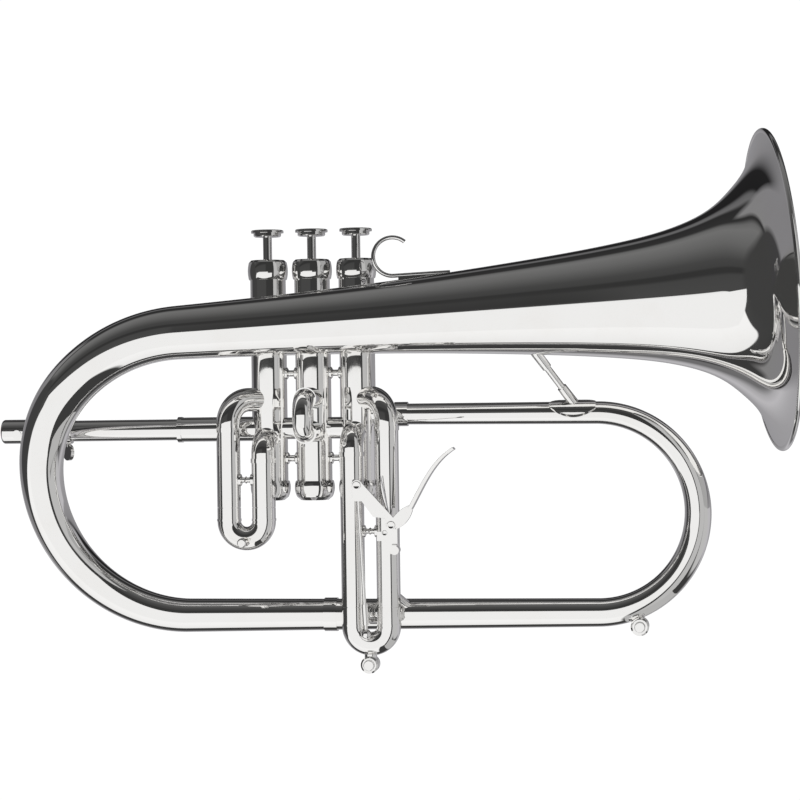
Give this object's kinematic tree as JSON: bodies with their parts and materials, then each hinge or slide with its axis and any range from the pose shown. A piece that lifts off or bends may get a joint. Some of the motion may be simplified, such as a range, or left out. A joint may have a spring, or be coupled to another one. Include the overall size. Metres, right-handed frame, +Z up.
{
  "type": "flugelhorn",
  "caption": "Silver-plated flugelhorn with piston valves, wide conical bell, pull slides, a third-slide trigger and push-button water keys.",
  "frame": {"origin": "axis of the middle valve at half the height of its casing, where the hand grips the valve block", "axes": "+Z up along the valves towards their buttons, +X along the valve row towards the bell's mouth, -Y towards the side with the slides"},
  "size_m": [0.4339, 0.1701, 0.287],
  "materials": {
    "silver_plate": "mirror polished silver plate",
    "monel": "lapped",
    "felt": "pressed felt",
    "spring_steel": "drawn wire"
  },
  "bodies": {
    "horn": {"bell": "silver_plate", "bell_bow": "silver_plate", "bell_rim": "silver_plate", "bell_stay": "silver_plate", "block_braces": "silver_plate", "bottom_cap_1": "silver_plate", "bottom_cap_2": "silver_plate", "bottom_cap_3": "silver_plate", "bottom_tube": "silver_plate", "bow_ferrule": "silver_plate", "bow_key_body": "silver_plate", "cap_felts": "felt", "casing_1": "silver_plate", "casing_2": "silver_plate", "casing_3": "silver_plate", "exit_ferrule": "silver_plate", "finger_hook": "silver_plate", "leadpipe_clamp": "silver_plate", "leadpipe_sleeve": "silver_plate", "pivot_screw": "silver_plate", "port_tubes": "silver_plate", "right_bow": "silver_plate", "slide_1_outer_left": "silver_plate", "slide_1_outer_right": "silver_plate", "slide_1_stay": "silver_plate", "slide_2_outer": "silver_plate", "slide_3_foot": "silver_plate", "slide_3_outer_left": "silver_plate", "slide_3_outer_right": "silver_plate", "slide_3_stay": "silver_plate", "spring_1": "spring_steel", "spring_2": "spring_steel", "spring_3": "spring_steel", "top_cap_1": "silver_plate", "top_cap_2": "silver_plate", "top_cap_3": "silver_plate", "trigger_bracket": "silver_plate", "trigger_spring": "spring_steel", "upper_tube": "silver_plate"},
    "valve_1": {"piston_1": "monel", "stem_1": "silver_plate", "button_1": "silver_plate"},
    "valve_2": {"piston_2": "monel", "stem_2": "silver_plate", "button_2": "silver_plate"},
    "valve_3": {"piston_3": "monel", "stem_3": "silver_plate", "button_3": "silver_plate"},
    "first_slide": {"slide_1_bow": "silver_plate", "slide_1_knob": "silver_plate"},
    "second_slide": {"slide_2_bow": "silver_plate"},
    "third_slide": {"slide_3_bow": "silver_plate", "slide_3_key_body": "silver_plate"},
    "slide_water_key": {"slide_3_key_button": "silver_plate"},
    "bow_water_key": {"bow_key_button": "silver_plate"},
    "trigger": {"trigger_lever": "silver_plate"},
    "trigger_rod": {"push_rod": "silver_plate"},
    "mouthpipe": {"leadpipe": "silver_plate", "mouthpiece_receiver": "silver_plate"},
    "clamp_screw": {"thumb_screw": "silver_plate"}
  },
  "joints": [
    {"name": "valve_1_press", "type": "slide", "parent": "horn", "child": "valve_1", "axis": [0, 0, -1], "range_m": [0, 0.0124], "stiffness_N_per_m": 250, "springref_m": -0.012, "deforming": ["spring_1"]},
    {"name": "valve_2_press", "type": "slide", "parent": "horn", "child": "valve_2", "axis": [0, 0, -1], "range_m": [0, 0.0124], "stiffness_N_per_m": 250, "springref_m": -0.012, "deforming": ["spring_2"]},
    {"name": "valve_3_press", "type": "slide", "parent": "horn", "child": "valve_3", "axis": [0, 0, -1], "range_m": [0, 0.0124], "stiffness_N_per_m": 250, "springref_m": -0.012, "deforming": ["spring_3"]},
    {"name": "first_slide_pull", "type": "slide", "parent": "horn", "child": "first_slide", "axis": [0, 0, -1], "range_m": [0, 0.02]},
    {"name": "second_slide_pull", "type": "slide", "parent": "horn", "child": "second_slide", "axis": [0, -1, 0], "range_m": [0, 0.008]},
    {"name": "trigger_pull", "type": "hinge", "parent": "horn", "child": "trigger", "pos_m": [0.0451, -0.0273, -0.0771], "axis": [0, -1, 0], "range_deg": [0, 28.2]},
    {"name": "trigger_rod_pivot", "type": "hinge", "parent": "trigger", "child": "trigger_rod", "pos_m": [0.0269, -0.0251, -0.0558], "axis": [0, -1, 0], "range_deg": [-23, 0]},
    {"name": "third_slide_throw", "type": "slide", "parent": "horn", "child": "third_slide", "axis": [0, 0, -1], "range_m": [0, 0.0099], "stiffness_N_per_m": 97, "springref_m": -0.0122},
    {"name": "slide_water_key_press", "type": "slide", "parent": "third_slide", "child": "slide_water_key", "axis": [0, 1, 0], "range_m": [0, 0.002], "stiffness_N_per_m": 400, "springref_m": -0.002},
    {"name": "bow_water_key_press", "type": "slide", "parent": "horn", "child": "bow_water_key", "axis": [0, 1, 0], "range_m": [0, 0.002], "stiffness_N_per_m": 400, "springref_m": -0.002},
    {"name": "mouthpipe_tune", "type": "slide", "parent": "horn", "child": "mouthpipe", "axis": [-1, 0, 0], "range_m": [0, 0.02]},
    {"name": "clamp_screw_turn", "type": "hinge", "parent": "horn", "child": "clamp_screw", "pos_m": [-0.137, 0, -0.0335], "axis": [0, 0, 1], "range_deg": [-90, 90]}
  ],
  "couplings": [
    {"joint": "trigger_pull", "follows": "third_slide_throw", "rad_per_m": 49.26},
    {"joint": "trigger_rod_pivot", "follows": "third_slide_throw", "rad_per_m": -38.67}
  ]
}
